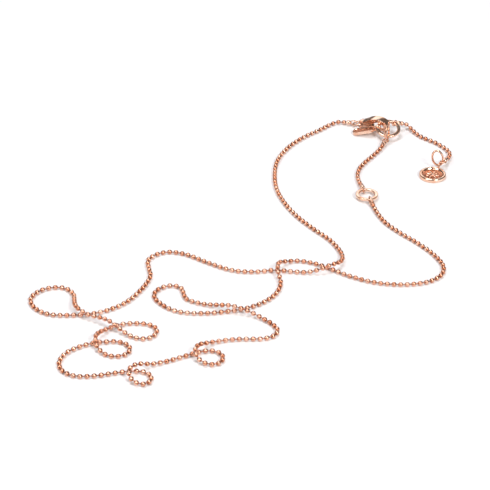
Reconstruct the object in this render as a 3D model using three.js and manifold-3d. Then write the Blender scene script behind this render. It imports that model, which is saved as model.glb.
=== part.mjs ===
// A ball-chain necklace lying on a flat surface, fastened by its lobster clasp.
// Units are millimetres, +Z is up, Z = 0 is the surface, +X runs to the right and +Y to the back.
// The origin is the middle of the necklace's outline on the surface.
import * as THREE from 'three';
import { mergeVertices } from 'three/addons/utils/BufferGeometryUtils.js';
import Module from 'manifold-3d';

const wasm = await Module();
wasm.setup();

// ---- driving dimensions -------------------------------------------------------------------
const CHAIN_D = 1.5;            // ball diameter, so the free chain's outer diameter
const CHAIN_SIDES = 8;
const CHAIN_STEP = 4.2;         // length of one straight step of a chain tube
const CHAIN_REST = 0.04;        // space under the chain where it lies flat
const BUTT_GAP = 0.3;           // space left where two pieces meet face to face

const EYE_R = 1.0;              // end cap's eye, measured to the middle of its wire
const EYE_WIRE_R = 0.22;
const CAP_R = 0.85;
const CAP_START = 1.05;         // along the cap's axis, from the middle of the eye
const CAP_END = 2.45;
const CHAIN_START = CAP_END + BUTT_GAP;   // where the chain's end face sits, from the same point

const BAND_W = 1.2;             // flat rings: width of the band across the ring
const BAND_T = 0.9;             // and its thickness
const INLINE_RING_R = 3.15;     // to the middle of the band
const END_RING_R = 3.6;

const OVAL_A = 1.75;            // oval jump rings: half width and half height of the wire's middle
const OVAL_B = 2.85;
const OVAL_WIRE_R = 0.35;
const CLASP_RING_R = 1.6;
const CLASP_RING_WIRE_R = 0.3;
const SPLIT = 0.16;             // open joint of a jump ring

const CLASP_T = 2.2;            // thickness of the clasp
const TAIL_HOLE_R = 0.6;
const TAIL_T = 1;
const LEVER_T = 0.9;
const SLOT_T = 1.3;             // slot in the clasp that the lever turns in
const PIN_R = 0.3;
const PIN_HOLE_R = 0.36;

const TAG_R = 4.5;
const TAG_T = 1.4;
const TAG_RIM_W = 1.1;
const TAG_RECESS = 0.5;
const BAIL_R = 0.82;            // bail of a tag, to the middle of its wire
const BAIL_WIRE_R = 0.24;
const PLATE_L = 8;              // small maker's tag
const PLATE_W = 3.8;
const PLATE_T = 0.9;

// Middle of the outline, measured from the point that the places below are given from.
const MIDDLE = [0.291, -3.5745];

// ---- where things lie ---------------------------------------------------------------------
// Each point is [x, y] or [x, y, lift]; lift is how far the chain rides above the surface.
const MAIN_ROUTE = {
  clasp_sweep: [
    [30.9, 73.9, 0.2], [27.6, 72.1], [24.6, 69], [18, 63], [12.5, 55.5], [9, 47], [8, 38],
    [8.5, 28.5], [11, 19.5], [15, 11], [20, 3.5], [25.5, -4],
  ],
  back_run: [
    [28.5, -12, 0.2], [28.2, -16.5, 0.8], [26.8, -19, 1.5], [24.5, -20.8, 1.9], [21.5, -22, 1.2],
    [17.5, -22.2, 0.2], [12.5, -21.5], [7.5, -20.7], [1, -21.7], [-6, -20.8],
  ],
  back_corner: [
    [-13.5, -16.5], [-21, -11.5], [-26, -10.3], [-30, -11.8], [-32.3, -15], [-32, -19.5],
  ],
  left_run: [[-31.3, -24], [-33.5, -31], [-39, -39.5], [-46.5, -44.2], [-54.5, -45.5]],
  left_loop: [
    [-61.5, -44.8], [-66, -41], [-67.2, -36.5], [-65, -32.5], [-61, -30.5], [-57, -31],
    [-54.5, -34], [-53.8, -38.5, 0.6], [-53.2, -42.3, 1.5], [-51.7, -45.3, 1.9],
  ],
  upper_curl: [
    [-48.8, -47.3, 1.4], [-45.5, -49, 1.6], [-42.5, -51.5, 2.1], [-39.3, -54, 1], [-36, -56.4, 0.1],
    [-32.5, -57.8], [-29.5, -56.8], [-28.2, -54], [-29.3, -51.3], [-32.2, -50], [-36, -49.8],
  ],
  lower_curl: [
    [-39.5, -50.5], [-43, -53.2, 0.3], [-45.2, -56.3, 1.2], [-46, -59.6, 1.9], [-45.4, -63, 1],
    [-43.2, -65.5, 0.1], [-40.2, -66.7], [-37, -65.8], [-35.7, -63.2], [-36.9, -60.6],
    [-39.5, -59.3], [-43, -59.3], [-46.5, -60],
  ],
  front_bend: [
    [-50.5, -61.7], [-54.3, -65], [-56, -69.5], [-54.8, -73.8], [-51, -76.3], [-45.5, -76.3],
    [-39.5, -74.9],
  ],
  front_curl: [
    [-35, -74], [-31.8, -74.2], [-29.4, -75.9], [-29, -78.5], [-30.9, -80.4, 0.1], [-33.7, -79.7, 0.45],
    [-35.3, -77.3, 1.2], [-34.8, -74.7, 2], [-32.4, -72.5, 1.5], [-29, -71, 0.4], [-24.5, -69],
  ],
  middle_curl: [
    [-19.5, -66.5], [-15.5, -64.6], [-12.2, -63.8], [-9.3, -65.1], [-8.4, -67.8], [-9.9, -70.3],
    [-12.9, -70.7, 0.2], [-15.5, -69.1, 0.9], [-16.5, -66.4, 1.8], [-15.7, -63.4, 1.7],
    [-13.5, -61, 0.7], [-10, -59.2, 0.1],
  ],
  front_run: [
    [-5.5, -58.1], [-1, -57.9], [3.3, -57.7], [6.5, -56.3], [7.7, -53.5], [6.4, -50.5],
    [3, -47.3, 0.3], [-0.7, -45.2, 1.1],
  ],
  inner_hook: [
    [-4, -44, 1.8], [-6.8, -43, 1.9], [-9.5, -41.8, 1.2], [-12.8, -40.3, 0.3], [-17, -38.6],
    [-20, -36.5], [-20.8, -33.6], [-21.5, -31], [-24, -29.4], [-27, -30.2], [-29.3, -32.6],
    [-29.6, -35.8], [-27.8, -39],
  ],
  inner_run: [
    [-25, -41.9], [-21, -43.9], [-15, -44.5], [-8, -43.6], [-1, -41.5], [4.5, -37.7], [8, -32.7],
    [9, -27.5, 0.2], [8.3, -24, 1.1],
  ],
  right_crest: [
    [8.2, -20.8, 1.9], [9, -18, 1.2], [11.2, -16.2, 0.3], [14.2, -15.4], [18, -16.2],
    [22.5, -18.5], [30, -23.8], [38.5, -27.8],
  ],
  right_bend: [
    [48, -28.8], [55, -27], [59, -23.2], [59.9, -18.5], [57.8, -12.5], [53, -5.2], [47.5, 1.3],
    [43.4, 7.2], [41.2, 12.6, 0.1],
  ],
};
const LINK_ROUTE = [
  [36, 33.4, 0.1], [35.8, 37.8], [36.8, 42.2], [38.7, 45.9], [40.8, 49.2], [42.8, 52.3],
  [44.7, 55.6, 0.2],
];
const EXTENSION_ROUTE = [
  [54, 70.5, 1.3], [55.7, 69.1, 0.4], [57, 66.8, 0.1], [58.5, 64.3], [60.8, 62], [63.6, 59.6],
  [65.9, 56.7], [67.5, 53.9], [67.9, 51.3, 0.1], [67.4, 48.8, 0.4],
];

const INLINE_RING = new THREE.Vector3(38.2, 23.9, 1.27);
const INLINE_RING_AXIS = THREE.MathUtils.degToRad(105);    // line through its two eyes, from +X
const END_RING = new THREE.Vector3(47.7, 65.2, 3.1);
const END_RING_TILT = THREE.MathUtils.degToRad(16);        // back edge up
const END_RING_HOOK_ANGLE = THREE.MathUtils.degToRad(132); // round the ring, from +X
const END_RING_EXTENSION_ANGLE = THREE.MathUtils.degToRad(50);
const END_RING_TAG_ANGLE = THREE.MathUtils.degToRad(177);
const LINK_OVAL = new THREE.Vector3(47.05, 61.4, 3.25);
const LINK_OVAL_TURN = THREE.MathUtils.degToRad(68);       // about +Z, from facing the front
const TAG_OVAL = new THREE.Vector3(63, 43.4, 3.95);
const TAG_OVAL_LEAN = THREE.MathUtils.degToRad(14);        // top of the ring to the left
const CLASP_EYE = new THREE.Vector3(36.1, 72.5, 1.27);     // eye of the cap that the clasp hangs on
const CLASP_LEAN = THREE.MathUtils.degToRad(12);           // top of the clasp towards the front
const MAKER_TAG_END = new THREE.Vector3(35, 67.3, 0.36);     // middle of the far end
const TAG_CENTRE = new THREE.Vector3(61, 37.8, TAG_T / 2);

const group = new THREE.Group();
const rose = (roughness) => new THREE.MeshStandardMaterial({ color: 0xd9977a, roughness, metalness: 1 });

function addMesh(name, geometry, matrix = new THREE.Matrix4(), roughness = 0.2) {
  const mesh = new THREE.Mesh(geometry, rose(roughness));
  mesh.name = name;
  mesh.applyMatrix4(matrix.clone().premultiply(move(-MIDDLE[0], -MIDDLE[1], 0)));
  group.add(mesh);
}

// ---- joining and cutting ------------------------------------------------------------------
function toSolid(geometry, matrix) {
  const bare = new THREE.BufferGeometry();
  bare.setAttribute('position', geometry.getAttribute('position').clone());
  if (geometry.index) bare.setIndex(geometry.index.clone());
  if (matrix) bare.applyMatrix4(matrix);
  const merged = mergeVertices(bare, 1e-4);
  const vertProperties = new Float32Array(merged.getAttribute('position').array);
  return new wasm.Manifold(new wasm.Mesh({
    numProp: 3, vertProperties, triVerts: new Uint32Array(merged.index.array),
  }));
}

function toGeometry(solid) {
  const mesh = solid.getMesh();
  const geometry = new THREE.BufferGeometry();
  geometry.setAttribute('position', new THREE.BufferAttribute(mesh.vertProperties, 3));
  geometry.setIndex(new THREE.BufferAttribute(mesh.triVerts, 1));
  return geometry;
}

const move = (x, y, z) => new THREE.Matrix4().makeTranslation(x, y, z);
const turnX = (angle) => new THREE.Matrix4().makeRotationX(angle);
const turnY = (angle) => new THREE.Matrix4().makeRotationY(angle);
const turnZ = (angle) => new THREE.Matrix4().makeRotationZ(angle);

// A frame at origin whose local x is along, and whose local z is as near to normal as it can be.
function frameAt(origin, along, normal) {
  const x = along.clone().normalize();
  const y = new THREE.Vector3().crossVectors(normal, x).normalize();
  const z = new THREE.Vector3().crossVectors(x, y);
  return new THREE.Matrix4().makeBasis(x, y, z).setPosition(origin);
}

// ---- basic shapes -------------------------------------------------------------------------
function circleShape(radius, sides) {
  const shape = new THREE.Shape();
  for (let i = 0; i < sides; i++) {
    const angle = (2 * Math.PI * (i + 0.5)) / sides;
    const method = i === 0 ? 'moveTo' : 'lineTo';
    shape[method](radius * Math.cos(angle), radius * Math.sin(angle));
  }
  shape.closePath();
  return shape;
}

function tube(curve, radius, sides, steps) {
  return new THREE.ExtrudeGeometry(circleShape(radius, sides), { steps, extrudePath: curve });
}

// A closed ring about Z: the profile runs round the point (radius, 0) in the ring's own section.
function ring(radius, profile, segments) {
  const points = profile.map(([across, up]) => new THREE.Vector2(radius + across, up));
  points.push(points[0].clone());
  return new THREE.LatheGeometry(points, segments).applyMatrix4(turnX(Math.PI / 2));
}

function roundProfile(radius, sides) {
  const points = [];
  for (let i = 0; i < sides; i++) {
    const angle = (2 * Math.PI * i) / sides;
    points.push([radius * Math.cos(angle), radius * Math.sin(angle)]);
  }
  return points;
}

function bandProfile() {
  const w = BAND_W / 2;
  const t = BAND_T / 2;
  const corner = 0.28;
  return [
    [w, -t + corner], [w, t - corner], [w - corner, t], [-w + corner, t],
    [-w, t - corner], [-w, -t + corner], [-w + corner, -t], [w - corner, -t],
  ];
}

function turned(points, segments) {
  return new THREE.LatheGeometry(points.map(([r, z]) => new THREE.Vector2(r, z)), segments)
    .applyMatrix4(turnX(Math.PI / 2));
}

// An oval of wire in the XY plane with its open joint at +Y.
class OvalPath extends THREE.Curve {
  constructor(halfWidth, halfHeight) {
    super();
    this.halfWidth = halfWidth;
    this.halfHeight = halfHeight;
    this.half = SPLIT / 2 / halfWidth;
  }

  getPoint(t, target = new THREE.Vector3()) {
    const angle = Math.PI / 2 + this.half + t * (2 * Math.PI - 2 * this.half);
    return target.set(this.halfWidth * Math.cos(angle), this.halfHeight * Math.sin(angle), 0);
  }
}

// ---- chain --------------------------------------------------------------------------------
const routePoint = ([x, y, lift = 0]) => new THREE.Vector3(x, y, CHAIN_D / 2 + CHAIN_REST + lift);

class CurvePart extends THREE.Curve {
  constructor(whole, from, to) {
    super();
    Object.assign(this, { whole, from, to });
  }

  getPoint(t, target = new THREE.Vector3()) {
    return this.whole.getPoint(this.from + t * (this.to - this.from), target);
  }
}

const chainCurve = (points) => new THREE.CatmullRomCurve3(points, false, 'centripetal');

function chainTube(curve) {
  const steps = Math.max(3, Math.round(curve.getLength() / CHAIN_STEP));
  return tube(curve, CHAIN_D / 2, CHAIN_SIDES, steps);
}

// The main chain is one curve through every point. It is cut at the first point of each list,
// with half the butt gap taken off each side of a cut.
function mainChain(first, end) {
  const names = Object.keys(MAIN_ROUTE);
  const lists = Object.values(MAIN_ROUTE);
  const points = [first, ...lists.flat().map(routePoint), end];
  const whole = chainCurve(points);
  const last = points.length - 1;
  const speedAt = (index) => whole.getPoint((index + 0.1) / last)
    .distanceTo(whole.getPoint((index - 0.1) / last)) / 0.2;
  const trim = (index) => BUTT_GAP / 2 / speedAt(index);
  let start = 1;
  names.forEach((name, i) => {
    const next = start + lists[i].length;
    const from = i === 0 ? 0 : start + trim(start);
    const to = i === names.length - 1 ? last : next - trim(next);
    addMesh(`chain_${name}`, chainTube(new CurvePart(whole, from / last, to / last)));
    start = next;
  });
}

// End cap: a cup crimped on the last ball with an eye standing out of it. Local x runs from the
// middle of the eye to the chain, local z is the eye's axis.
function endCap() {
  const eye = toSolid(ring(EYE_R, roundProfile(EYE_WIRE_R, 6), 20));
  const cup = turned([
    [0, CAP_START], [0.5, CAP_START], [CAP_R, CAP_START + 0.4], [CAP_R, CAP_END], [0, CAP_END],
  ], 12);
  return toGeometry(eye.add(toSolid(cup, turnY(Math.PI / 2))));
}

// ---- rings --------------------------------------------------------------------------------
const END_RING_UP = new THREE.Vector3(0, Math.cos(END_RING_TILT), Math.sin(END_RING_TILT));

function endRingPoint(angle) {
  return END_RING.clone()
    .addScaledVector(new THREE.Vector3(1, 0, 0), END_RING_R * Math.cos(angle))
    .addScaledVector(END_RING_UP, END_RING_R * Math.sin(angle));
}

function endRingTangent(angle) {
  return new THREE.Vector3(-Math.sin(angle), 0, 0).addScaledVector(END_RING_UP, Math.cos(angle));
}

function flatRings() {
  addMesh('inline_ring', ring(INLINE_RING_R, bandProfile(), 36), move(...INLINE_RING.toArray()));
  const tilt = turnX(END_RING_TILT).premultiply(move(...END_RING.toArray()));
  addMesh('end_ring', ring(END_RING_R, bandProfile(), 40), tilt);
}

// Oval rings stand on edge: their local y is up, but for the lean within their own plane.
function ovalMatrix(centre, turn, lean = 0) {
  return turnZ(turn).premultiply(move(...centre.toArray()))
    .multiply(turnX(Math.PI / 2)).multiply(turnZ(lean));
}

function ovalRings() {
  const oval = () => tube(new OvalPath(OVAL_A, OVAL_B), OVAL_WIRE_R, 8, 30);
  addMesh('link_jump_ring', oval(), ovalMatrix(LINK_OVAL, LINK_OVAL_TURN));
  addMesh('tag_jump_ring', oval(), ovalMatrix(TAG_OVAL, 0, TAG_OVAL_LEAN));
}

// A point on an oval ring's wire, or out beyond it.
function ovalPoint(matrix, angle, beyond) {
  const [halfWidth, halfHeight] = [OVAL_A + beyond, OVAL_B + beyond];
  return new THREE.Vector3(halfWidth * Math.cos(angle), halfHeight * Math.sin(angle), 0)
    .applyMatrix4(matrix);
}

// ---- clasp --------------------------------------------------------------------------------
// The clasp's own frame: origin in its tail hole, x towards its head, y up over its back.
const HOOK = endRingPoint(END_RING_HOOK_ANGLE);
const CLASP_LINE = new THREE.Vector3().subVectors(HOOK, CLASP_EYE).normalize();
const CLASP_SIDE = new THREE.Vector3().crossVectors(CLASP_LINE, new THREE.Vector3(0, 0, 1)).normalize();
const CLASP_TAIL = CLASP_EYE.clone().addScaledVector(CLASP_LINE, 2 * CLASP_RING_R);
const HOOK_UP = 1.35;           // how far above the clasp's x axis the ring's band sits
const PIVOT = [3.5, -1];

function claspMatrix() {
  const reach = HOOK.distanceTo(CLASP_TAIL);
  const dip = Math.asin(HOOK_UP / reach);
  const along = CLASP_LINE.clone().applyAxisAngle(CLASP_SIDE, -dip);
  return frameAt(CLASP_TAIL, along, CLASP_SIDE.clone().applyAxisAngle(CLASP_LINE, CLASP_LEAN));
}

// An outline rounded through corners listed anticlockwise.
function smoothShape(corners, samples) {
  const curve = new THREE.CatmullRomCurve3(corners.map(([x, y]) => new THREE.Vector3(x, y, 0)),
    true, 'centripetal');
  const points = curve.getPoints(samples).slice(0, -1);
  return new THREE.Shape(points.map((p) => new THREE.Vector2(p.x, p.y)));
}

function roundHole(shape, x, y, radius) {
  const points = [];
  for (let i = 0; i < 12; i++) {
    const angle = (-2 * Math.PI * i) / 12;
    points.push(new THREE.Vector2(x + radius * Math.cos(angle), y + radius * Math.sin(angle)));
  }
  shape.holes.push(new THREE.Path(points));
}

function claspOutline() {
  const shape = smoothShape([
    [0, -1.25], [1.6, -1.45], [3, -1.95], [4.1, -1.9], [4.5, -1], [4.25, 0],
    [4.6, 1.15], [5.5, 2.05], [6.6, 2.35], [7.8, 2.05], [8.65, 1.15], [8.8, 0.1], [8.35, -0.7],
    [8.7, -1.55], [9.6, -1.15], [10.25, -0.1], [10.3, 1.3], [9.55, 2.75], [8, 3.6], [6, 3.7],
    [4, 3.1], [2, 2], [0.6, 1.3], [-0.5, 1.15], [-1.25, 0], [-0.85, -0.95],
  ], 78);
  roundHole(shape, 0, 0, TAIL_HOLE_R);
  return shape;
}

function slab(shape, thickness, bevel = 0) {
  const geometry = new THREE.ExtrudeGeometry(shape, {
    depth: thickness - 2 * bevel, curveSegments: 10, steps: 1,
    bevelEnabled: bevel > 0, bevelThickness: bevel, bevelSize: bevel, bevelOffset: -bevel, bevelSegments: 1,
  });
  return geometry.translate(0, 0, bevel - thickness / 2);
}

function rod(radius, length, segments) {
  return new THREE.CylinderGeometry(radius, radius, length, segments).rotateX(Math.PI / 2);
}

function claspBody() {
  const blank = toSolid(slab(claspOutline(), CLASP_T, 0.2));
  const slot = toSolid(new THREE.BoxGeometry(3.4, 3.2, SLOT_T), move(PIVOT[0] + 0.35, PIVOT[1] - 0.05, 0));
  const hole = toSolid(rod(PIN_HOLE_R, 2 * CLASP_T, 12), move(...PIVOT, 0));
  const side = (CLASP_T - TAIL_T) / 2;
  const shoulder = (sign) => toSolid(new THREE.BoxGeometry(3, 4, side),
    move(-0.6, 0, sign * (TAIL_T + side) / 2));
  return toGeometry(blank.subtract(slot).subtract(hole).subtract(shoulder(1)).subtract(shoulder(-1)));
}

function leverOutline() {
  const shape = smoothShape([
    [2.85, -0.6], [2.75, -1.3], [3.2, -1.7], [4, -1.75], [4.7, -1.85], [5.1, -2.2], [5.6, -2.15],
    [6.2, -1.65], [7, -1.55], [8.1, -1.45], [8.05, -0.85], [7.3, -0.7], [5.5, -0.55], [3.5, -0.25],
  ], 42);
  roundHole(shape, ...PIVOT, PIN_HOLE_R);
  return shape;
}

function springPath() {
  return new THREE.CatmullRomCurve3([
    new THREE.Vector3(2.35, -0.1, 0), new THREE.Vector3(2.4, -0.8, 0), new THREE.Vector3(2.55, -1.45, 0),
  ]);
}

function clasp() {
  const matrix = claspMatrix();
  addMesh('clasp_body', claspBody(), matrix);
  addMesh('clasp_lever', slab(leverOutline(), LEVER_T), matrix);
  const pin = rod(PIN_R, CLASP_T - 0.1, 10).translate(...PIVOT, 0);
  addMesh('clasp_pin', pin, matrix, 0.3);
  addMesh('clasp_spring', tube(springPath(), 0.13, 6, 5), matrix, 0.4);
  const middle = CLASP_EYE.clone().addScaledVector(CLASP_LINE, CLASP_RING_R);
  const ringMatrix = frameAt(middle, CLASP_LINE, new THREE.Vector3(0, 0, 1));
  const wire = tube(new OvalPath(CLASP_RING_R, CLASP_RING_R), CLASP_RING_WIRE_R, 8, 22);
  addMesh('clasp_jump_ring', wire, ringMatrix);
}

// ---- tags ---------------------------------------------------------------------------------
// A bail stands on edge at the far side of a tag: its axis is across the tag.
function bail(distance, height, neckFrom) {
  const loop = toSolid(ring(BAIL_R, roundProfile(BAIL_WIRE_R, 6), 18),
    turnY(Math.PI / 2).premultiply(move(0, distance, height)));
  const neckTo = distance - BAIL_R + 0.1;
  const neck = toSolid(new THREE.BoxGeometry(0.7, neckTo - neckFrom, 0.5),
    move(0, (neckFrom + neckTo) / 2, 0));
  return loop.add(neck);
}

function roundTag() {
  const inner = TAG_R - TAG_RIM_W;
  const top = TAG_T / 2;
  const disc = turned([
    [0, -top], [TAG_R - 0.35, -top], [TAG_R, -top + 0.35], [TAG_R, top - 0.35],
    [TAG_R - 0.35, top], [inner + 0.3, top], [inner, top - TAG_RECESS], [0, top - TAG_RECESS],
  ], 40);
  const foot = ovalPoint(ovalMatrix(TAG_OVAL, 0, TAG_OVAL_LEAN), -Math.PI / 2, 0);
  const toRing = foot.sub(TAG_CENTRE);
  const distance = Math.hypot(toRing.x, toRing.y);
  const height = toRing.z;
  const turn = turnZ(Math.atan2(toRing.y, toRing.x) - Math.PI / 2);
  const solid = toSolid(disc).add(bail(distance, height, TAG_R - 0.6));
  addMesh('round_tag', toGeometry(solid), turn.premultiply(move(...TAG_CENTRE.toArray())));
}

// A long rounded plate with a shallow panel and an eye like a cap's. Local x runs from the middle
// of the eye to the far end, local z is up out of the plate.
function makerTag() {
  const radius = PLATE_W / 2;
  const near = EYE_R + 0.1 + radius;
  const far = near + PLATE_L - 2 * radius;
  const oblong = (r) => {
    const shape = new THREE.Shape();
    shape.absarc(far, 0, r, -Math.PI / 2, Math.PI / 2, false);
    shape.absarc(near, 0, r, Math.PI / 2, 1.5 * Math.PI, false);
    return shape;
  };
  const plate = toSolid(slab(oblong(radius), PLATE_T, 0.2));
  const panel = toSolid(slab(oblong(radius * 0.62), 0.4), move(0, 0, PLATE_T / 2));
  const eye = toSolid(ring(EYE_R, roundProfile(EYE_WIRE_R, 6), 20), turnX(Math.PI / 2));
  const solid = plate.subtract(panel).add(eye);
  const at = endRingPoint(END_RING_TAG_ANGLE);
  const along = new THREE.Vector3().subVectors(MAKER_TAG_END, at);
  addMesh('maker_tag', toGeometry(solid), frameAt(at, along, new THREE.Vector3(0, 0, 1)));
}

// ---- assembly -----------------------------------------------------------------------------
const UP = new THREE.Vector3(0, 0, 1);

// Each cap sits in line with its chain's end: the chain starts CHAIN_START from the middle of the
// eye, towards the next point of its route.
function endPoint(eye, next) {
  return eye.clone().add(routePoint(next).sub(eye).setLength(CHAIN_START));
}

function inlineEye(sign) {
  return INLINE_RING.clone().add(new THREE.Vector3(
    sign * INLINE_RING_R * Math.cos(INLINE_RING_AXIS), sign * INLINE_RING_R * Math.sin(INLINE_RING_AXIS), 0,
  ));
}

const INLINE_TANGENT = new THREE.Vector3(-Math.sin(INLINE_RING_AXIS), Math.cos(INLINE_RING_AXIS), 0);

// Where each chain end is held: the middle of its eye and the axis of that eye.
const EYES = {
  clasp_end: [CLASP_EYE, CLASP_SIDE],
  main_ring_end: [inlineEye(-1), INLINE_TANGENT],
  link_ring_end: [inlineEye(1), INLINE_TANGENT],
  link_jump_end: [
    ovalPoint(ovalMatrix(LINK_OVAL, LINK_OVAL_TURN), THREE.MathUtils.degToRad(222), 0.2), UP,
  ],
  extension_start: [endRingPoint(END_RING_EXTENSION_ANGLE), endRingTangent(END_RING_EXTENSION_ANGLE)],
  tag_end: [
    ovalPoint(ovalMatrix(TAG_OVAL, 0, TAG_OVAL_LEAN), THREE.MathUtils.degToRad(-40), 0.2), UP,
  ],
};

function capAt(name, next) {
  const [eye, axis] = EYES[name];
  addMesh(`cap_${name}`, endCap(), frameAt(eye, routePoint(next).sub(eye), axis));
  return endPoint(eye, next);
}

function chains() {
  const lists = Object.values(MAIN_ROUTE);
  mainChain(capAt('clasp_end', lists[0][0]), capAt('main_ring_end', lists.at(-1).at(-1)));
  const plain = (name, list, startCap, endCapName) => {
    const points = [capAt(startCap, list[0]), ...list.map(routePoint), capAt(endCapName, list.at(-1))];
    addMesh(name, chainTube(chainCurve(points)));
  };
  plain('link_chain', LINK_ROUTE, 'link_ring_end', 'link_jump_end');
  plain('extension_chain', EXTENSION_ROUTE, 'extension_start', 'tag_end');
}

chains();
flatRings();
ovalRings();
clasp();
roundTag();
makerTag();

export default group;
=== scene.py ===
"""A ball-chain necklace in polished rose gold, laid fastened on a pale surface."""

import math
import random

import bmesh
import bpy
from mathutils import Matrix, Vector


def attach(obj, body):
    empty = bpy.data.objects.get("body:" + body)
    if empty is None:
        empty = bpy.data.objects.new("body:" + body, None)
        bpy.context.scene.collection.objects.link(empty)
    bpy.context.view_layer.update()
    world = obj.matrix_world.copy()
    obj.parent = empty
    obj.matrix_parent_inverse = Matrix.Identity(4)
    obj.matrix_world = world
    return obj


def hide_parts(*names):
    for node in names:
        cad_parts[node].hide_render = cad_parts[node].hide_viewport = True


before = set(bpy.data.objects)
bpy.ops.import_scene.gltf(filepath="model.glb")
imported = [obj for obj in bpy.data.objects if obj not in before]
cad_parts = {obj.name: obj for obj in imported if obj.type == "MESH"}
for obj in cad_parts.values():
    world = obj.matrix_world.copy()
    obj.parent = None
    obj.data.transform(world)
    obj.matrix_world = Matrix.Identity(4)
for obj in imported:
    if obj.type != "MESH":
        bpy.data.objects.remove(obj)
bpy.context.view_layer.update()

MM = 0.001
TURN = 2 * math.pi

# ---- sizes, in millimetres ----------------------------------------------------------------
CHAIN_D = 1.5
CHAIN_REST = 0.04
BALL_R = 0.79
PITCH = 2.05
PIN_R = 0.17
PIN_L = 0.7 * PITCH
# How far towards its pin the painted shade on a ball's end, and the darker painted shade round its hole,
# begin, as parts of its radius.
BALL_END_SHADE = 0.7
BALL_HOLE_SHADE = 0.85
EYE_R = 1.0
EYE_WIRE_R = 0.22
CAP_R = 0.84
CAP_START = 1.0
CAP_END = 2.5
CHAIN_START = 2.75
BAND_W = 1.2
BAND_T = 0.9
BAND_EDGE = 0.3
INLINE_RING_R = 3.15
END_RING_R = 3.6
OVAL_A = 1.75
OVAL_B = 2.85
OVAL_WIRE_R = 0.35
TAG_OVAL_WIRE_R = 0.38
CLASP_RING_R = 1.6
CLASP_RING_WIRE_R = 0.3
CLASP_T = 2.2
TAIL_T = 1.0
TAIL_HOLE_R = 0.6
CLASP_EDGE = 0.42
LEVER_T = 0.9
LEVER_EDGE = 0.18
SLOT = (3.4, 3.2, 1.3)
TAIL_NOTCH = (3, 4, (CLASP_T - TAIL_T) / 2)
CLASP_PIN_R = 0.3
PIN_HOLE_R = 0.36
TAG_R = 4.5
TAG_T = 1.4
TAG_RIM_W = 1.1
TAG_RECESS = 0.5
PETALS = 8
PETAL_AT = 1.45
PETAL = (0.95, 0.36, 0.16)
BOSS = (0.5, 0.5, 0.26)
BAIL_R = 0.82
BAIL_WIRE_R = 0.24
LUG_W = 0.62
LUG_T = 0.42
PLATE_L = 8.0
PLATE_W = 3.8
PLATE_T = 0.9
PLATE_EDGE = 0.22
PLATE_RIM_W = 0.42
PLATE_RECESS = 0.2
CROSS_BAR_R = 0.13
CROSS_BAR_L = 1.5

# ---- where things lie ---------------------------------------------------------------------
# The places below are measured from a point that lies this far from the middle of the outline.
MIDDLE = Vector((0.291, -3.5745, 0))

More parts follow.
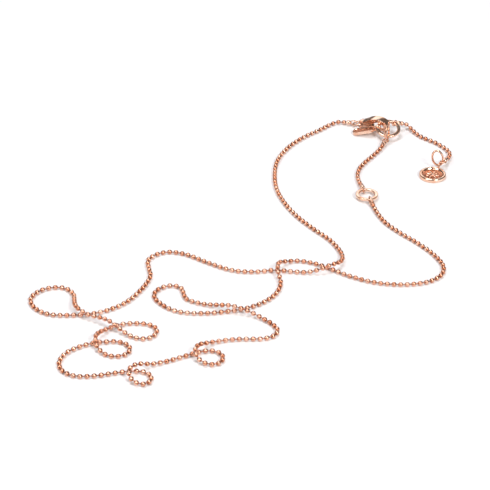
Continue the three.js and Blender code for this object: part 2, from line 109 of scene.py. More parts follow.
# [x, y] or [x, y, lift above the surface]
MAIN_ROUTE = {
    "clasp_sweep": [
        (30.9, 73.9, 0.2), (27.6, 72.1), (24.6, 69), (18, 63), (12.5, 55.5), (9, 47), (8, 38),
        (8.5, 28.5), (11, 19.5), (15, 11), (20, 3.5), (25.5, -4),
    ],
    "back_run": [
        (28.5, -12, 0.2), (28.2, -16.5, 0.8), (26.8, -19, 1.5), (24.5, -20.8, 1.9),
        (21.5, -22, 1.2), (17.5, -22.2, 0.2), (12.5, -21.5), (7.5, -20.7), (1, -21.7), (-6, -20.8),
    ],
    "back_corner": [
        (-13.5, -16.5), (-21, -11.5), (-26, -10.3), (-30, -11.8), (-32.3, -15), (-32, -19.5),
    ],
    "left_run": [(-31.3, -24), (-33.5, -31), (-39, -39.5), (-46.5, -44.2), (-54.5, -45.5)],
    "left_loop": [
        (-61.5, -44.8), (-66, -41), (-67.2, -36.5), (-65, -32.5), (-61, -30.5), (-57, -31),
        (-54.5, -34), (-53.8, -38.5, 0.6), (-53.2, -42.3, 1.5), (-51.7, -45.3, 1.9),
    ],
    "upper_curl": [
        (-48.8, -47.3, 1.4), (-45.5, -49, 1.6), (-42.5, -51.5, 2.1), (-39.3, -54, 1),
        (-36, -56.4, 0.1), (-32.5, -57.8), (-29.5, -56.8), (-28.2, -54), (-29.3, -51.3),
        (-32.2, -50), (-36, -49.8),
    ],
    "lower_curl": [
        (-39.5, -50.5), (-43, -53.2, 0.3), (-45.2, -56.3, 1.2), (-46, -59.6, 1.9), (-45.4, -63, 1),
        (-43.2, -65.5, 0.1), (-40.2, -66.7), (-37, -65.8), (-35.7, -63.2), (-36.9, -60.6),
        (-39.5, -59.3), (-43, -59.3), (-46.5, -60),
    ],
    "front_bend": [
        (-50.5, -61.7), (-54.3, -65), (-56, -69.5), (-54.8, -73.8), (-51, -76.3), (-45.5, -76.3),
        (-39.5, -74.9),
    ],
    "front_curl": [
        (-35, -74), (-31.8, -74.2), (-29.4, -75.9), (-29, -78.5), (-30.9, -80.4, 0.1),
        (-33.7, -79.7, 0.45), (-35.3, -77.3, 1.2), (-34.8, -74.7, 2), (-32.4, -72.5, 1.5),
        (-29, -71, 0.4), (-24.5, -69),
    ],
    "middle_curl": [
        (-19.5, -66.5), (-15.5, -64.6), (-12.2, -63.8), (-9.3, -65.1), (-8.4, -67.8),
        (-9.9, -70.3), (-12.9, -70.7, 0.2), (-15.5, -69.1, 0.9), (-16.5, -66.4, 1.8),
        (-15.7, -63.4, 1.7), (-13.5, -61, 0.7), (-10, -59.2, 0.1),
    ],
    "front_run": [
        (-5.5, -58.1), (-1, -57.9), (3.3, -57.7), (6.5, -56.3), (7.7, -53.5), (6.4, -50.5),
        (3, -47.3, 0.3), (-0.7, -45.2, 1.1),
    ],
    "inner_hook": [
        (-4, -44, 1.8), (-6.8, -43, 1.9), (-9.5, -41.8, 1.2), (-12.8, -40.3, 0.3), (-17, -38.6),
        (-20, -36.5), (-20.8, -33.6), (-21.5, -31), (-24, -29.4), (-27, -30.2), (-29.3, -32.6),
        (-29.6, -35.8), (-27.8, -39),
    ],
    "inner_run": [
        (-25, -41.9), (-21, -43.9), (-15, -44.5), (-8, -43.6), (-1, -41.5), (4.5, -37.7),
        (8, -32.7), (9, -27.5, 0.2), (8.3, -24, 1.1),
    ],
    "right_crest": [
        (8.2, -20.8, 1.9), (9, -18, 1.2), (11.2, -16.2, 0.3), (14.2, -15.4), (18, -16.2),
        (22.5, -18.5), (30, -23.8), (38.5, -27.8),
    ],
    "right_bend": [
        (48, -28.8), (55, -27), (59, -23.2), (59.9, -18.5), (57.8, -12.5), (53, -5.2),
        (47.5, 1.3), (43.4, 7.2), (41.2, 12.6, 0.1),
    ],
}
LINK_ROUTE = [
    (36, 33.4, 0.1), (35.8, 37.8), (36.8, 42.2), (38.7, 45.9), (40.8, 49.2), (42.8, 52.3),
    (44.7, 55.6, 0.2),
]
EXTENSION_ROUTE = [
    (54, 70.5, 1.3), (55.7, 69.1, 0.4), (57, 66.8, 0.1), (58.5, 64.3), (60.8, 62),
    (63.6, 59.6), (65.9, 56.7), (67.5, 53.9), (67.9, 51.3, 0.1), (67.4, 48.8, 0.4),
]
INLINE_RING = Vector((38.2, 23.9, 1.27))
INLINE_RING_AXIS = math.radians(105)
END_RING = Vector((47.7, 65.2, 3.1))
END_RING_TILT = math.radians(16)
HOOK_ANGLE = math.radians(132)
EXTENSION_ANGLE = math.radians(50)
MAKER_TAG_ANGLE = math.radians(177)
LINK_OVAL = Vector((47.05, 61.4, 3.25))
LINK_OVAL_TURN = math.radians(68)
TAG_OVAL = Vector((63, 43.4, 3.95))
TAG_OVAL_LEAN = math.radians(14)
CLASP_EYE = Vector((36.1, 72.5, 1.27))
CLASP_LEAN = math.radians(12)
HOOK_UP = 1.35
PIVOT = Vector((3.5, -1, 0))
MAKER_TAG_END = Vector((35, 67.3, 0.36))
TAG_CENTRE = Vector((61, 37.8, TAG_T / 2))
UP = Vector((0, 0, 1))
CAMERA_AIM = Vector((-2, -5, 0))
CAMERA_DOWN = math.radians(32.5)
CAMERA_DISTANCE = 636


def camera():
    """Looks down at the necklace from the front, with a long lens."""
    data = bpy.data.cameras.new("camera")
    data.sensor_width = 36
    data.lens = 146.94
    obj = bpy.data.objects.new("camera", data)
    away = Vector((0, -math.cos(CAMERA_DOWN), math.sin(CAMERA_DOWN)))
    obj.location = (CAMERA_AIM - MIDDLE + CAMERA_DISTANCE * away) * MM
    obj.rotation_euler = (math.pi / 2 - CAMERA_DOWN, 0, 0)
    bpy.context.collection.objects.link(obj)
    bpy.context.scene.camera = obj


# ---- placing ------------------------------------------------------------------------------
def frame_at(origin, along, normal):
    """A frame whose x runs along, and whose z is as near to normal as it can be."""
    x = along.normalized()
    y = normal.cross(x).normalized()
    z = x.cross(y)
    matrix = Matrix((x, y, z)).transposed().to_4x4()
    matrix.translation = origin
    return matrix


def move(x, y, z):
    return Matrix.Translation((x, y, z))


def turn(angle, axis):
    return Matrix.Rotation(angle, 4, axis)


def end_ring_up():
    return Vector((0, math.cos(END_RING_TILT), math.sin(END_RING_TILT)))


def end_ring_point(angle):
    out = math.cos(angle) * Vector((1, 0, 0)) + math.sin(angle) * end_ring_up()
    return END_RING + END_RING_R * out


def end_ring_tangent(angle):
    return math.cos(angle) * end_ring_up() - math.sin(angle) * Vector((1, 0, 0))


def oval_frame(centre, angle, lean=0):
    """Stands an oval on edge with its y up, leaning within its own plane."""
    return move(*centre) @ turn(angle, "Z") @ turn(math.pi / 2, "X") @ turn(lean, "Z")


def oval_point(matrix, around, beyond):
    """A point on the oval ring's wire, or beyond it."""
    flat = Vector(((OVAL_A + beyond) * math.cos(around), (OVAL_B + beyond) * math.sin(around), 0))
    return matrix @ flat


def inline_eye(sign):
    """Where a cap's eye goes round the inline ring: the back side for 1, the front for -1."""
    along = Vector((math.cos(INLINE_RING_AXIS), math.sin(INLINE_RING_AXIS), 0))
    return INLINE_RING + sign * INLINE_RING_R * along


LINK_OVAL_FRAME = oval_frame(LINK_OVAL, LINK_OVAL_TURN)
TAG_OVAL_FRAME = oval_frame(TAG_OVAL, 0, TAG_OVAL_LEAN)
HOOK = end_ring_point(HOOK_ANGLE)
CLASP_LINE = (HOOK - CLASP_EYE).normalized()
CLASP_SIDE = CLASP_LINE.cross(UP).normalized()
CLASP_TAIL = CLASP_EYE + 2 * CLASP_RING_R * CLASP_LINE
INLINE_TANGENT = Vector((-math.sin(INLINE_RING_AXIS), math.cos(INLINE_RING_AXIS), 0))

# The middle of each cap's eye, and the eye's axis. The oval rings hang a little slack in theirs.
OVAL_SLACK = 0.2
EYES = {
    "clasp_end": (CLASP_EYE, CLASP_SIDE),
    "main_ring_end": (inline_eye(-1), INLINE_TANGENT),
    "link_ring_end": (inline_eye(1), INLINE_TANGENT),
    "link_jump_end": (oval_point(LINK_OVAL_FRAME, math.radians(222), OVAL_SLACK), UP),
    "extension_start": (end_ring_point(EXTENSION_ANGLE), end_ring_tangent(EXTENSION_ANGLE)),
    "tag_end": (oval_point(TAG_OVAL_FRAME, math.radians(-40), OVAL_SLACK), UP),
}


def clasp_frame():
    """Origin in the clasp's tail hole, x towards its head, y up over its back."""
    reach = (HOOK - CLASP_TAIL).length
    dip = math.asin(HOOK_UP / reach)
    along = Matrix.Rotation(-dip, 3, CLASP_SIDE) @ CLASP_LINE
    side = Matrix.Rotation(CLASP_LEAN, 3, CLASP_LINE) @ CLASP_SIDE
    return frame_at(CLASP_TAIL, along, side)


# ---- chain --------------------------------------------------------------------------------
def on_surface(point):
    """The chain's middle where it lies on the surface, or where it is lifted off it."""
    lift = point[2] if len(point) > 2 else 0
    return Vector((point[0], point[1], CHAIN_D / 2 + CHAIN_REST + lift))


def through(points, steps, closed=False):
    """Points on the centripetal Catmull-Rom curve through the given ones."""
    if closed:
        padded = [points[-1], *points, points[0], points[1]]
    else:
        padded = [2 * points[0] - points[1], *points, 2 * points[-1] - points[-2]]
    line = []
    for a, b, c, d in zip(padded, padded[1:], padded[2:], padded[3:]):
        before, here, after = (math.sqrt((q - p).length) for p, q in ((a, b), (b, c), (c, d)))
        leave = ((b - a) / before - (c - a) / (before + here) + (c - b) / here) * here
        arrive = ((c - b) / here - (d - b) / (here + after) + (d - c) / after) * here
        for i in range(steps):
            t = i / steps
            line.append(
                (2 * t**3 - 3 * t**2 + 1) * b + (t**3 - 2 * t**2 + t) * leave
                + (3 * t**2 - 2 * t**3) * c + (t**3 - t**2) * arrive
            )
    if not closed:
        line.append(points[-1])
    return line


CURVE_STEPS = 40
# ball_chain takes one point in this many of the curve's into a list that nothing keeps.
PATH_EVERY = 8


def end_point(eye, following):
    return eye + CHAIN_START * (on_surface(following) - eye).normalized()


def whole_main_route():
    return [p for stretch in MAIN_ROUTE.values() for p in stretch]


def chain_line(route, first_eye, last_eye):
    points = [end_point(EYES[first_eye][0], route[0])]
    points += [on_surface(p) for p in route]
    points.append(end_point(EYES[last_eye][0], route[-1]))
    return [p - MIDDLE for p in through(points, CURVE_STEPS)]


def spaced(line, pitch):
    """Points one pitch apart along the line, the remainder shared between them."""
    lengths = [(b - a).length for a, b in zip(line, line[1:])]
    total = sum(lengths)
    margin = CHAIN_D / 2
    count = round((total - 2 * margin) / pitch)
    wanted = [margin + (total - 2 * margin) * i / count for i in range(count + 1)]
    found = []
    walked = 0
    for a, b, length in zip(line, line[1:], lengths):
        while wanted and wanted[0] <= walked + length:
            found.append(a.lerp(b, (wanted.pop(0) - walked) / length))
        walked += length
    return found, total


def ball_chain(name, line, body, nodes):
    """Balls on short pins in one mesh. Slot 1 is painted shade on the balls' ends, slot 2 the pins and the
    balls' holes, painted darker still as shade between the balls.
    """
    centres, length = spaced(line, PITCH)
    ball = bmesh.new()
    bmesh.ops.create_uvsphere(ball, u_segments=10, v_segments=7, radius=BALL_R * MM)
    # Faces towards the pins are painted as shade between the balls: slot 1, then slot 2 nearest the hole.
    for face in ball.faces:
        towards_pin = abs(face.calc_center_median().z) / (BALL_R * MM)
        face.material_index = int(towards_pin > BALL_END_SHADE) + int(towards_pin > BALL_HOLE_SHADE)
    pin = bmesh.new()
    bmesh.ops.create_cone(pin, segments=6, radius1=PIN_R * MM, radius2=PIN_R * MM, depth=PIN_L * MM)
    bm = bmesh.new()
    for i, centre in enumerate(centres):
        ahead = centres[min(i + 1, len(centres) - 1)] - centres[max(i - 1, 0)]
        facing = ahead.to_track_quat("Z", "Y").to_matrix().to_4x4()
        spin = turn(random.uniform(0, TURN), "Z")
        add(bm, ball.copy(), Matrix.Translation(centre * MM) @ facing @ spin)
    balls = len(bm.faces)
    for a, b in zip(centres, centres[1:]):
        facing = (b - a).to_track_quat("Z", "Y").to_matrix().to_4x4()
        add(bm, pin.copy(), Matrix.Translation((a + b) / 2 * MM) @ facing)
    ball.free()
    pin.free()
    bm.faces.ensure_lookup_table()
    # The pins take slot 2, painted dark as shade between the balls.
    for face in bm.faces[balls:]:
        face.material_index = 2
    chain = piece(name, bm, body, "chain_metal", nodes, chain_gold(), chain_end_shade_gold(), pin_shade_metal())
    line[0] * MM
    length * MM
    [p * MM for p in line[::PATH_EVERY]] + [line[-1] * MM]


def chains():
    main = chain_line(whole_main_route(), "clasp_end", "main_ring_end")
    ball_chain("main_balls", main, "chain", ["chain_" + name for name in MAIN_ROUTE])
    link = chain_line(LINK_ROUTE, "link_ring_end", "link_jump_end")
    ball_chain("link_balls", link, "chain", ["link_chain"])
    extension = chain_line(EXTENSION_ROUTE, "extension_start", "tag_end")
    ball_chain("extension_balls", extension, "extension", ["extension_chain"])


# ---- making pieces ------------------------------------------------------------------------
# An edge that bends by more radians than this is a rim, and is rounded.
RIM_BEND = 1
# Flat faces that meet at more than this are shaded as a crisp edge.
CRISP = math.radians(50)


def piece(name, bm, body, slot, nodes, *materials):
    """Finishes a bmesh in metres and row axes as a smooth piece that stands for its CAD nodes."""
    bmesh.ops.recalc_face_normals(bm, faces=bm.faces)
    mesh = bpy.data.meshes.new(name)
    bm.to_mesh(mesh)
    bm.free()
    for material in materials:
        mesh.materials.append(material)
    mesh.shade_smooth()
    obj = bpy.data.objects.new(name, mesh)
    bpy.context.collection.objects.link(obj)
    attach(obj, body)
    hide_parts(*nodes)
    return obj


def settle(bm, matrix):
    """Takes a mesh from millimetres in its own frame to metres in the row's."""
    bm.transform(Matrix.Scale(MM, 4) @ Matrix.Translation(-MIDDLE) @ matrix)
    return bm


def add(bm, other, matrix=Matrix()):
    """Joins another bmesh on, moved by matrix, and frees it."""
    other.transform(matrix)
    mesh = bpy.data.meshes.new("part")
    other.to_mesh(mesh)
    other.free()
    bm.from_mesh(mesh)
    bpy.data.meshes.remove(mesh)
    return bm


def spin_section(bm, steps):
    """Turns the mesh's edges, drawn in the XZ plane, once round Z."""
    geom = bm.verts[:] + bm.edges[:]
    bmesh.ops.spin(
        bm, geom=geom, cent=(0, 0, 0), axis=(0, 0, 1), angle=TURN, steps=steps, use_merge=True,
    )
    bmesh.ops.remove_doubles(bm, verts=bm.verts, dist=1e-4)
    return bm


def wire_ring(radius, wire, steps=64, sides=14):
    bm = bmesh.new()
    at = move(radius, 0, 0) @ turn(math.pi / 2, "X")
    bmesh.ops.create_circle(bm, segments=sides, radius=wire, matrix=at)
    return spin_section(bm, steps)


def flat_ring(radius, steps=96):
    """A band ring with well rounded edges."""
    bm = bmesh.new()
    bmesh.ops.create_grid(bm, x_segments=1, y_segments=1, size=0.5)
    bmesh.ops.scale(bm, vec=(BAND_W, BAND_T, 1), verts=bm.verts)
    bmesh.ops.bevel(
        bm, geom=bm.verts, offset=BAND_EDGE, offset_type="OFFSET", segments=5, profile=0.5,
        affect="VERTICES", material=-1,
    )
    bmesh.ops.delete(bm, geom=bm.faces, context="FACES_ONLY")
    bmesh.ops.transform(bm, matrix=move(radius, 0, 0) @ turn(math.pi / 2, "X"), verts=bm.verts)
    return spin_section(bm, steps)


def oval_ring(wire):
    """A round ring of wire drawn out into an ellipse, the wire itself staying round."""
    bm = wire_ring(OVAL_A, wire, steps=72)
    for vert in bm.verts:
        around = math.atan2(vert.co.y, vert.co.x)
        vert.co.y += (OVAL_B - OVAL_A) * math.sin(around)
    return bm


def turned(profile, steps):
    """Turns a profile of (radius, height) points round Z."""
    bm = bmesh.new()
    verts = [bm.verts.new((r, 0, z)) for r, z in profile]
    for a, b in zip(verts, verts[1:]):
        bm.edges.new((a, b))
    return spin_section(bm, steps)


def loop_edges(bm, points):
    verts = [bm.verts.new(p) for p in points]
    return [bm.edges.new((a, b)) for a, b in zip(verts, verts[1:] + verts[:1])]


def arc(x, y, radius, start, end, steps):
    """Points round a centre, from one angle to the other, both included."""
    angles = [start + (end - start) * i / steps for i in range(steps + 1)]
    return [Vector((x + radius * math.cos(a), y + radius * math.sin(a), 0)) for a in angles]


def slab(outline, thickness, edge, hole=None, segments=3):
    """A plate of the outline, centred on z = 0, with rounded edges."""
    bm = bmesh.new()
    edges = loop_edges(bm, outline)
    if hole:
        edges += loop_edges(bm, arc(*hole, 0, TURN, 32)[:-1])
    bmesh.ops.triangle_fill(bm, edges=edges, use_beauty=True, use_dissolve=False)
    made = bmesh.ops.extrude_face_region(bm, geom=bm.faces[:], use_keep_orig=True)
    top = [v for v in made["geom"] if isinstance(v, bmesh.types.BMVert)]
    bmesh.ops.translate(bm, vec=(0, 0, thickness), verts=top)
    bmesh.ops.translate(bm, vec=(0, 0, -thickness / 2), verts=bm.verts)
    bmesh.ops.recalc_face_normals(bm, faces=bm.faces)
    rim = [e for e in bm.edges if e.calc_face_angle() > RIM_BEND]
    bmesh.ops.bevel(
        bm, geom=rim, offset=edge, offset_type="OFFSET", segments=segments, profile=0.5,
        affect="EDGES", material=-1, clamp_overlap=True,
    )
    return bm


def smooth_outline(corners, steps=6):
    return through([Vector((x, y, 0)) for x, y in corners], steps, closed=True)


def cut(obj, tool):
    """Takes the tool's volume out of the piece, and removes the tool."""
    mesh = bpy.data.meshes.new("tool")
    tool.to_mesh(mesh)
    tool.free()
    other = bpy.data.objects.new("tool", mesh)
    bpy.context.collection.objects.link(other)
    boolean = obj.modifiers.new("cut", "BOOLEAN")
    boolean.operation = "DIFFERENCE"
    boolean.solver = "EXACT"
    boolean.object = other
    graph = bpy.context.evaluated_depsgraph_get()
    made = bpy.data.meshes.new_from_object(obj.evaluated_get(graph))
    obj.modifiers.clear()
    obj.data = made
    bpy.data.objects.remove(other)


# ---- materials ----------------------------------------------------------------------------
class Value:
    """One output socket, with sums written as sums."""

    def __init__(self, tree, socket):
        self.tree = tree
        self.socket = socket

    def make(self, kind, settings=None, values=None, output=0):
        node = self.tree.nodes.new(kind)
        for name, setting in (settings or {}).items():
            setattr(node, name, setting)
        for key, value in (values or {}).items():
            if isinstance(value, Value):
                self.tree.links.new(value.socket, node.inputs[key])
            else:
                node.inputs[key].default_value = value
        return Value(self.tree, node.outputs[output])

    def math(self, operation, a, b):
        return self.make("ShaderNodeMath", {"operation": operation}, {0: a, 1: b})

    def __add__(self, other):
        return self.math("ADD", self, other)

    __radd__ = __add__

    def __mul__(self, other):
        return self.math("MULTIPLY", self, other)

    __rmul__ = __mul__

    def __sub__(self, other):
        return self.math("SUBTRACT", self, other)

    def __rsub__(self, other):
        return self.math("SUBTRACT", other, self)

    def ramp(self, low, high):
        """0 below low, 1 above high."""
        return self.make("ShaderNodeMapRange", {}, {"Value": self, "From Min": low, "From Max": high})

    def scaled(self, vector):
        return self.make("ShaderNodeVectorMath", {"operation": "MULTIPLY"}, {0: self, 1: vector})

    def noise(self, scale, detail, roughness=0.5):
        values = {"Vector": self, "Scale": scale, "Detail": detail, "Roughness": roughness}
        return self.make("ShaderNodeTexNoise", {"noise_dimensions": "3D"}, values)

    def blend(self, low, high):
        """Colour low where this is 0, high where it is 1."""
        values = {"Factor": self, COLOUR_A: low, COLOUR_B: high}
        return self.make("ShaderNodeMix", {"data_type": "RGBA"}, values, output=COLOUR_OUT)

    def bump(self, depth, strength=1.0):
        """The surface raised by this, up to depth millimetres."""
        values = {"Strength": strength, "Distance": depth * MM, "Height": self}
        return self.make("ShaderNodeBump", {}, values)


MATERIALS = {}


def material(name, build):
    """A metal made once: build takes the place on the piece and gives each socket's value."""
    if name not in MATERIALS:
        made = bpy.data.materials.new(name)
        made.use_nodes = True
        shader = made.node_tree.nodes["Principled BSDF"]
        shader.inputs["Metallic"].default_value = 1
        tree = made.node_tree
        where = Value(tree, None).make("ShaderNodeTexCoord", output=OBJECT_PLACE)
        for socket, value in build(where).items():
            tree.links.new(value.socket, shader.inputs[socket])
        MATERIALS[name] = made
    return MATERIALS[name]


# Which numbered sockets of the Mix node hold its two colours, and which gives its result.
COLOUR_A = 6
COLOUR_B = 7
COLOUR_OUT = 2
# Which output of the Texture Coordinate node is the object's own place.
OBJECT_PLACE = 3

GOLD = (0.74, 0.35, 0.215, 1)
GOLD_PALE = (0.93, 0.62, 0.48, 1)
# The balls' ends are painted in this darker red as shade between the balls.
GOLD_END_SHADE = (0.55, 0.19, 0.09, 1)
GOLD_DEEP = (0.42, 0.11, 0.04, 1)
CHAMPAGNE = (0.82, 0.47, 0.32, 1)
CHAMPAGNE_PALE = (0.93, 0.68, 0.54, 1)
# The pins and the balls' holes are painted in these dark colours as shade between the balls.
PIN_SHADED = (0.3, 0.1, 0.05, 1)
PIN_LIT = (0.5, 0.2, 0.11, 1)
STEEL_SHADED = (0.5, 0.49, 0.48, 1)
STEEL_LIT = (0.72, 0.71, 0.7, 1)
WHITE = (0.93, 0.93, 0.935, 1)
WHITE_SHADED = (0.9, 0.9, 0.91, 1)


def rose_gold(where, low, high, depth, scratch, roughness, spread):
    """Plated metal: tint that wanders from low to high with deeper patches, and fine wear."""
    tint = where.noise(420, 3).ramp(0.35, 0.65)
    patch = where.noise(90, 2).ramp(0.4, 0.62)
    hair = where.scaled((1, 14, 5)).noise(900, 4, 0.7)
    haze = where.noise(1500, 2)
    return {
        "Base Color": (patch * depth).blend(tint.blend(low, high), GOLD_DEEP),
        "Roughness": haze.ramp(0.3, 0.75) * spread + patch * 0.03 + roughness,
        "Normal": (hair * 0.6 + haze * 0.4).bump(scratch),
    }


def chain_gold():
    """The balls, polished brightest of all."""

    def build(where):
        return rose_gold(where, GOLD, GOLD_PALE, depth=0.3, scratch=0.002, roughness=0.07, spread=0.08)

    return material("chain gold", build)


def chain_end_shade_gold():
    """The balls' ends towards the pins, painted darker and redder as shade between the balls, and a little
    rougher.
    """

    def build(where):
        return rose_gold(where, GOLD_END_SHADE, GOLD, depth=0.5, scratch=0.002, roughness=0.14, spread=0.1)

    return material("chain end painted shade", build)


def polished(name):
    """The fittings' gold, paler than the chain's."""

    def build(where):
        return rose_gold(
            where, CHAMPAGNE, CHAMPAGNE_PALE, depth=0.12, scratch=0.003, roughness=0.12, spread=0.1,
        )

    return material(name, build)


def brushed():
    """The tags' lowered faces, finely brushed one way, and coloured darker than their polished rims."""

    def build(where):
        strands = where.scaled((1, 30, 1)).noise(700, 5, 0.75)
        return {
            "Base Color": strands.ramp(0.35, 0.7).blend(GOLD_DEEP, GOLD),
            "Roughness": strands * 0.2 + 0.2,
            "Normal": strands.bump(0.004),
        }

    return material("brushed gold", build)


def pin_shade_metal():
    """The pins between the balls and the balls' holes, painted darker as shade between the balls, and
    duller.
    """

    def build(where):
        grain = where.noise(1800, 3)
        return {
            "Base Color": grain.ramp(0.3, 0.7).blend(PIN_SHADED, PIN_LIT),
            "Roughness": grain * 0.2 + 0.22,
        }

    return material("pin painted shade", build)


def spring_metal():
    """The clasp's spring: bright drawn wire."""

    def build(where):
        grain = where.scaled((1, 1, 12)).noise(1200, 3)
        return {
            "Base Color": grain.blend(STEEL_SHADED, STEEL_LIT),
            "Roughness": grain * 0.2 + 0.2,
        }

    return material("spring steel", build)


def surface_paper():
    """The pale surface: matt white with a barely visible tooth."""
    made = bpy.data.materials.new("white surface")
    made.use_nodes = True
    tree = made.node_tree
    shader = tree.nodes["Principled BSDF"]
    where = Value(tree, None).make("ShaderNodeTexCoord", output=OBJECT_PLACE)
    tone = where.noise(6, 2).blend(WHITE_SHADED, WHITE)
    tooth = where.noise(900, 3).bump(0.02, 0.3)
    tree.links.new(tone.socket, shader.inputs["Base Color"])
    tree.links.new(tooth.socket, shader.inputs["Normal"])
    shader.inputs["Roughness"].default_value = 0.7
    return made


# ---- fittings -----------------------------------------------------------------------------
def rings():
    inline = settle(flat_ring(INLINE_RING_R), move(*INLINE_RING))
    piece("inline_ring", inline, "inline_ring", "ring_metal", ["inline_ring"], polished("ring gold"))
    end = settle(flat_ring(END_RING_R), move(*END_RING) @ turn(END_RING_TILT, "X"))
    piece("end_ring", end, "end_ring", "ring_metal", ["end_ring"], polished("ring gold"))
    link = settle(oval_ring(OVAL_WIRE_R), LINK_OVAL_FRAME)
    piece("upright_ring", link, "link_ring", "ring_metal", ["link_jump_ring"], polished("ring gold"))
    tag = settle(oval_ring(TAG_OVAL_WIRE_R), TAG_OVAL_FRAME)
    piece("tag_ring", tag, "tag_ring", "ring_metal", ["tag_jump_ring"], polished("ring gold"))
    middle = CLASP_EYE + CLASP_RING_R * CLASP_LINE
    small = settle(wire_ring(CLASP_RING_R, CLASP_RING_WIRE_R), frame_at(middle, CLASP_LINE, UP))
    piece("clasp_ring", small, "clasp_ring", "ring_metal", ["clasp_jump_ring"], polished("ring gold"))


def end_cap():
    """A cup crimped on the last ball, with an eye. Local x runs from the eye to the chain."""
    bm = turned([
        (0, CAP_START), (0.28, CAP_START), (0.46, CAP_START + 0.06), (0.66, CAP_START + 0.2),
        (0.79, CAP_START + 0.42), (CAP_R, CAP_START + 0.7), (CAP_R, CAP_END - 0.12),
        (CAP_R - 0.06, CAP_END), (CAP_R - 0.2, CAP_END), (CAP_R - 0.26, CAP_END - 0.2), (0, CAP_END - 0.25),
    ], 28)
    bm.transform(turn(math.pi / 2, "Y"))
    return add(bm, wire_ring(EYE_R, EYE_WIRE_R, 40, 12))


def caps():
    main = whole_main_route()
    towards = {
        "clasp_end": main[0], "main_ring_end": main[-1],
        "link_ring_end": LINK_ROUTE[0], "link_jump_end": LINK_ROUTE[-1],
        "extension_start": EXTENSION_ROUTE[0], "tag_end": EXTENSION_ROUTE[-1],
    }
    for name, point in towards.items():
        eye, axis = EYES[name]
        body = "extension" if name in ("extension_start", "tag_end") else "chain"
        bm = settle(end_cap(), frame_at(eye, on_surface(point) - eye, axis))
        piece("end_cap_" + name, bm, body, "cap_metal", ["cap_" + name], polished("cap gold"))


# Outlines in the clasp's own frame: the body round its back and hook, and the lever.
CLASP_CORNERS = [
    (0, -1.25), (1.6, -1.45), (3, -1.95), (4.1, -1.9), (4.5, -1), (4.25, 0),
    (4.6, 1.15), (5.5, 2.05), (6.6, 2.35), (7.8, 2.05), (8.65, 1.15), (8.8, 0.1), (8.35, -0.7),
    (8.7, -1.55), (9.6, -1.15), (10.25, -0.1), (10.3, 1.3), (9.55, 2.75), (8, 3.6), (6, 3.7),
    (4, 3.1), (2, 2), (0.6, 1.3), (-0.5, 1.15), (-1.25, 0), (-0.85, -0.95),
]
LEVER_CORNERS = [
    (2.85, -0.6), (2.75, -1.3), (3.2, -1.7), (4, -1.75), (4.7, -1.85), (5.1, -2.2), (5.6, -2.15),
    (6.2, -1.65), (7, -1.55), (8.1, -1.45), (8.05, -0.85), (7.3, -0.7), (5.5, -0.55), (3.5, -0.25),
]


def box(size, matrix):
    bm = bmesh.new()
    bmesh.ops.create_cube(bm, size=1, matrix=matrix @ Matrix.Diagonal((*size, 1)))
    return bm


def rod(radius, length, matrix, edge=0.06):
    bm = bmesh.new()
    bmesh.ops.create_cone(bm, cap_ends=True, segments=28, radius1=radius, radius2=radius, depth=length)
    rim = [e for e in bm.edges if e.calc_face_angle() > RIM_BEND]
    bmesh.ops.bevel(bm, geom=rim, offset=edge, segments=2, profile=0.5, affect="EDGES", material=-1)
    bm.transform(matrix)
    return bm


def dome(radii, matrix, around, up):
    """A ball squashed to three radii, for the rosette's raised shapes."""
    bm = bmesh.new()
    shape = matrix @ Matrix.Diagonal((*radii, 1))
    bmesh.ops.create_uvsphere(bm, u_segments=around, v_segments=up, radius=1, matrix=shape)
    return bm


def clasp():
    """The body with its slot and thinned tail, the lever in the slot and the lever's pin."""
    at = clasp_frame()
    gold = polished("clasp gold")
    bm = slab(smooth_outline(CLASP_CORNERS), CLASP_T, CLASP_EDGE, (0, 0, TAIL_HOLE_R), 4)
    body = piece("clasp", settle(bm, at), "clasp", "clasp_metal", ["clasp_body"], gold)
    cut(body, settle(box(SLOT, move(PIVOT.x + 0.35, PIVOT.y - 0.05, 0)), at))
    for sign in (-1, 1):
        beside_tail = move(-0.6, 0, sign * (TAIL_T + TAIL_NOTCH[2]) / 2)
        cut(body, settle(box(TAIL_NOTCH, beside_tail), at))
    body.data.materials.clear()
    body.data.materials.append(gold)
    body.data.set_sharp_from_angle(angle=CRISP)
    lever = slab(smooth_outline(LEVER_CORNERS), LEVER_T, LEVER_EDGE, (PIVOT.x, PIVOT.y, PIN_HOLE_R))
    piece("clasp_lever", settle(lever, at), "lever", "clasp_metal", ["clasp_lever"], gold)
    pin = rod(CLASP_PIN_R, CLASP_T - 0.1, move(*PIVOT))
    piece("clasp_pin", settle(pin, at), "clasp", "clasp_metal", ["clasp_pin"], gold)


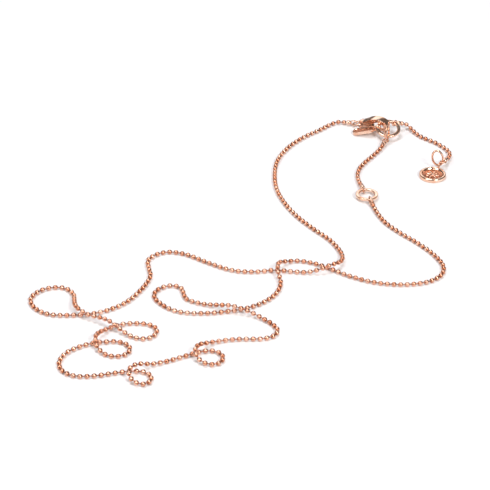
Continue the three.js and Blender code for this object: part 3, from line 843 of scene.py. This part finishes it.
def round_tag():
    """A heavy-rimmed disc with a brushed recess, a plain rosette in it, and its bail."""
    inner = TAG_R - TAG_RIM_W
    top = TAG_T / 2
    floor = top - TAG_RECESS
    bm = turned([
        (0, -top), (TAG_R - 0.5, -top), (TAG_R - 0.25, -top + 0.05), (TAG_R - 0.07, -top + 0.2),
        (TAG_R, -top + 0.42), (TAG_R, top - 0.42), (TAG_R - 0.07, top - 0.2), (TAG_R - 0.25, top - 0.05),
        (TAG_R - 0.5, top), (inner + 0.45, top), (inner + 0.28, top - 0.04), (inner + 0.1, top - 0.18),
        (inner + 0.02, floor + 0.08), (inner - 0.1, floor), (0, floor),
    ], 72)
    for face in bm.faces:
        middle = face.calc_center_median()
        face.material_index = 1 if middle.z > 0 and math.hypot(middle.x, middle.y) < inner - 0.05 else 0
    for i in range(PETALS):
        add(bm, dome(PETAL, turn(TURN * i / PETALS, "Z") @ move(PETAL_AT, 0, floor), 16, 10))
    add(bm, dome(BOSS, move(0, 0, floor), 20, 12))
    to_ring = oval_point(TAG_OVAL_FRAME, -math.pi / 2, 0) - TAG_CENTRE
    distance = math.hypot(to_ring.x, to_ring.y)
    height = to_ring.z
    add(bm, wire_ring(BAIL_R, BAIL_WIRE_R, 40, 12), move(0, distance, height) @ turn(math.pi / 2, "Y"))
    start = TAG_R - 0.6
    reach = distance - BAIL_R + 0.1 - start
    add(bm, box((LUG_W, reach, LUG_T), move(0, start + reach / 2, 0)))
    angle = math.atan2(to_ring.y, to_ring.x) - math.pi / 2
    settle(bm, move(*TAG_CENTRE) @ turn(angle, "Z"))
    obj = piece("round_tag", bm, "tag", "tag_metal", ["round_tag"], polished("tag gold"), brushed())
    obj.data.set_sharp_from_angle(angle=CRISP)


def maker_tag():
    """An oblong plate with a rim round a brushed panel, on an eye like a cap's."""
    radius = PLATE_W / 2
    near = EYE_R + 0.1 + radius
    far = near + PLATE_L - 2 * radius
    quarter = TURN / 4
    outline = arc(far, 0, radius, -quarter, quarter, 20) + arc(near, 0, radius, quarter, 3 * quarter, 20)
    bm = slab(outline, PLATE_T, PLATE_EDGE)
    top = [f for f in bm.faces if f.normal.z > 0.99]
    top = bmesh.ops.dissolve_faces(bm, faces=top)["region"]
    bmesh.ops.inset_region(bm, faces=top, thickness=PLATE_RIM_W, depth=0)
    bmesh.ops.inset_region(bm, faces=top, thickness=0.1, depth=-PLATE_RECESS)
    for face in top:
        face.material_index = 1
    for x in (near + 0.4, (near + far) / 2 + 0.2, far):
        at = move(x, 0, PLATE_T / 2 - PLATE_RECESS) @ turn(math.pi / 2, "X")
        add(bm, rod(CROSS_BAR_R, CROSS_BAR_L, at))
    add(bm, wire_ring(EYE_R, EYE_WIRE_R, 40, 12), turn(math.pi / 2, "X"))
    eye = end_ring_point(MAKER_TAG_ANGLE)
    settle(bm, frame_at(eye, MAKER_TAG_END - eye, UP))
    obj = piece("makers_tag", bm, "maker_tag", "tag_metal", ["maker_tag"], polished("tag gold"), brushed())
    obj.data.set_sharp_from_angle(angle=CRISP)


# ---- setting ------------------------------------------------------------------------------
def floor():
    bm = bmesh.new()
    bmesh.ops.create_grid(bm, x_segments=1, y_segments=1, size=3)
    mesh = bpy.data.meshes.new("surface")
    bm.to_mesh(mesh)
    bm.free()
    mesh.materials.append(surface_paper())
    obj = bpy.data.objects.new("surface", mesh)
    bpy.context.collection.objects.link(obj)


def softbox(name, where, size, watts, colour=(1, 1, 1)):
    """A rectangular light, its place and size in metres, that faces the necklace's middle."""
    data = bpy.data.lights.new(name, "AREA")
    data.shape = "RECTANGLE"
    data.size, data.size_y = size
    data.energy = watts
    data.color = colour
    obj = bpy.data.objects.new(name, data)
    obj.location = where
    obj.rotation_euler = (-Vector(where)).to_track_quat("-Z", "Y").to_euler()
    bpy.context.collection.objects.link(obj)


def lights():
    """A warm key from the right, cool fill from above, and plain fill from behind and the left."""
    softbox("key softbox", (0.5, -0.7, 0.7), (0.4, 0.4), 8.6, (1, 0.98, 0.95))
    softbox("top softbox", (-0.15, 0.1, 1.0), (0.4, 0.4), 4.7, (0.93, 0.95, 1))
    softbox("back softbox", (0, 1.1, 0.8), (1.4, 0.7), 4.0)
    softbox("left softbox", (-0.7, -0.5, 0.6), (0.4, 0.4), 3.5)
    world = bpy.data.worlds.new("room")
    world.use_nodes = True
    background = world.node_tree.nodes["Background"]
    background.inputs["Color"].default_value = (1, 0.9, 0.86, 1)
    background.inputs["Strength"].default_value = 0.15
    bpy.context.scene.world = world
    bpy.context.scene.view_settings.view_transform = "Standard"


def dress_spring():
    spring = bpy.data.objects["clasp_spring"]
    spring.data.materials.clear()
    spring.data.materials.append(spring_metal())


random.seed(7)
camera()
chains()
caps()
rings()
clasp()
round_tag()
maker_tag()
dress_spring()
floor()
lights()
